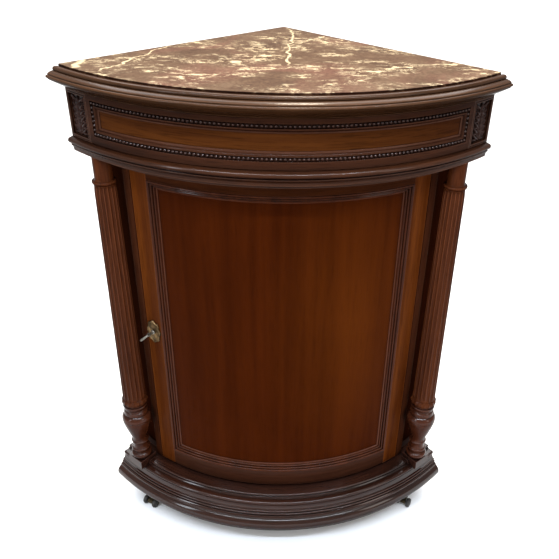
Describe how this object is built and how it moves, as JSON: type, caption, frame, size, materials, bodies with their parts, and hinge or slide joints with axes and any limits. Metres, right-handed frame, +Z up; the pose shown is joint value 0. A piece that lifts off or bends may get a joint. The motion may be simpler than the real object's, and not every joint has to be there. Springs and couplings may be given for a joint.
{
  "type": "corner cabinet",
  "caption": "Quarter-round corner cabinet with a bowed panelled door between free-standing fluted columns, a carved frieze, a moulded cornice and an inset marble top",
  "frame": {"origin": "on the floor, in the middle of the bounding box seen from above", "axes": "+Z up, front towards -Y, +X to the right seen from the front; the back corner lies on the +Y side"},
  "size_m": [0.7658, 0.5412, 1],
  "materials": {
    "mahogany": "French-polished mahogany, warm red-brown, satin gloss",
    "dark_mahogany": "polished mahogany darkened with age, near black in the hollows",
    "door_veneer": "polished mahogany with an upright grain",
    "carcass_wood": "unpolished secondary wood",
    "marble": "polished red marble with pale veins",
    "brass": "aged brass",
    "steel": "worn steel",
    "cast_iron": "dark cast iron"
  },
  "bodies": {
    "carcass": {"back_post": "carcass_wood", "base_moulding": "dark_mahogany", "base_rail_left": "carcass_wood", "base_rail_right": "carcass_wood", "bottom_board": "carcass_wood", "caster_plate_back": "cast_iron", "caster_plate_front_left": "cast_iron", "caster_plate_front_right": "cast_iron", "column_backboard_left": "mahogany", "column_backboard_right": "mahogany", "column_foot_left": "mahogany", "column_foot_right": "mahogany", "column_plinth_left": "dark_mahogany", "column_plinth_right": "dark_mahogany", "column_shaft_left": "mahogany", "column_shaft_right": "mahogany", "corner_block_border_left": "mahogany", "corner_block_border_right": "mahogany", "corner_block_left": "mahogany", "corner_block_right": "mahogany", "corner_post_left": "mahogany", "corner_post_right": "mahogany", "cornice": "mahogany", "door_stop": "carcass_wood", "entablature_moulding": "mahogany", "frieze_beading": "dark_mahogany", "frieze_board": "mahogany", "frieze_border": "mahogany", "lock_keeper": "brass", "marble_top": "marble", "pivot_case_plate_bottom": "brass", "pivot_case_plate_top": "brass", "shelf": "carcass_wood", "shelf_batten_left": "carcass_wood", "shelf_batten_right": "carcass_wood", "side_panel_left": "carcass_wood", "side_panel_right": "carcass_wood", "top_rail_left": "carcass_wood", "top_rail_right": "carcass_wood"},
    "door": {"door_stile_hinge": "door_veneer", "door_stile_lock": "door_veneer", "door_rail_top": "door_veneer", "door_rail_bottom": "door_veneer", "door_panel": "door_veneer", "door_moulding": "door_veneer", "pivot_door_plate_top": "brass", "pivot_door_plate_bottom": "brass", "lock_case": "steel", "escutcheon": "brass"},
    "key": {"key": "steel"},
    "bolt": {"lock_bolt": "brass"},
    "horn_front_left": {"caster_horn_front_left": "brass"},
    "wheels_front_left": {"caster_wheels_front_left": "cast_iron"},
    "horn_front_right": {"caster_horn_front_right": "brass"},
    "wheels_front_right": {"caster_wheels_front_right": "cast_iron"},
    "horn_back": {"caster_horn_back": "brass"},
    "wheels_back": {"caster_wheels_back": "cast_iron"}
  },
  "joints": [
    {"name": "door_hinge", "type": "hinge", "parent": "carcass", "child": "door", "pos_m": [0.25816, -0.1136, 0.484], "axis": [0, 0, 1], "range_deg": [0, 90]},
    {"name": "key_turn", "type": "hinge", "parent": "door", "child": "key", "pos_m": [-0.25077, -0.1244, 0.486], "axis": [-0.5358, -0.8443, 0], "range_deg": [-45, 135]},
    {"name": "bolt_slide", "type": "slide", "parent": "door", "child": "bolt", "axis": [-0.8393, 0.5437, 0], "range_m": [-0.0025, 0.0075]},
    {"name": "swivel_front_left", "type": "hinge", "parent": "carcass", "child": "horn_front_left", "pos_m": [-0.29448, -0.13457, 0.04], "axis": [0, 0, 1], "continuous": true},
    {"name": "roll_front_left", "type": "hinge", "parent": "horn_front_left", "child": "wheels_front_left", "pos_m": [-0.29748, -0.13976, 0.011], "axis": [0.866, -0.5, 0], "continuous": true},
    {"name": "swivel_front_right", "type": "hinge", "parent": "carcass", "child": "horn_front_right", "pos_m": [0.29448, -0.13457, 0.04], "axis": [0, 0, 1], "continuous": true},
    {"name": "roll_front_right", "type": "hinge", "parent": "horn_front_right", "child": "wheels_front_right", "pos_m": [0.29148, -0.13976, 0.011], "axis": [0.866, -0.5, 0], "continuous": true},
    {"name": "swivel_back", "type": "hinge", "parent": "carcass", "child": "horn_back", "pos_m": [0, 0.23675, 0.04], "axis": [0, 0, 1], "continuous": true},
    {"name": "roll_back", "type": "hinge", "parent": "horn_back", "child": "wheels_back", "pos_m": [0, 0.23075, 0.011], "axis": [1, 0, 0], "continuous": true}
  ],
  "couplings": [
    {"joint": "bolt_slide", "follows": "key_turn", "m_per_rad": 0.00318}
  ]
}
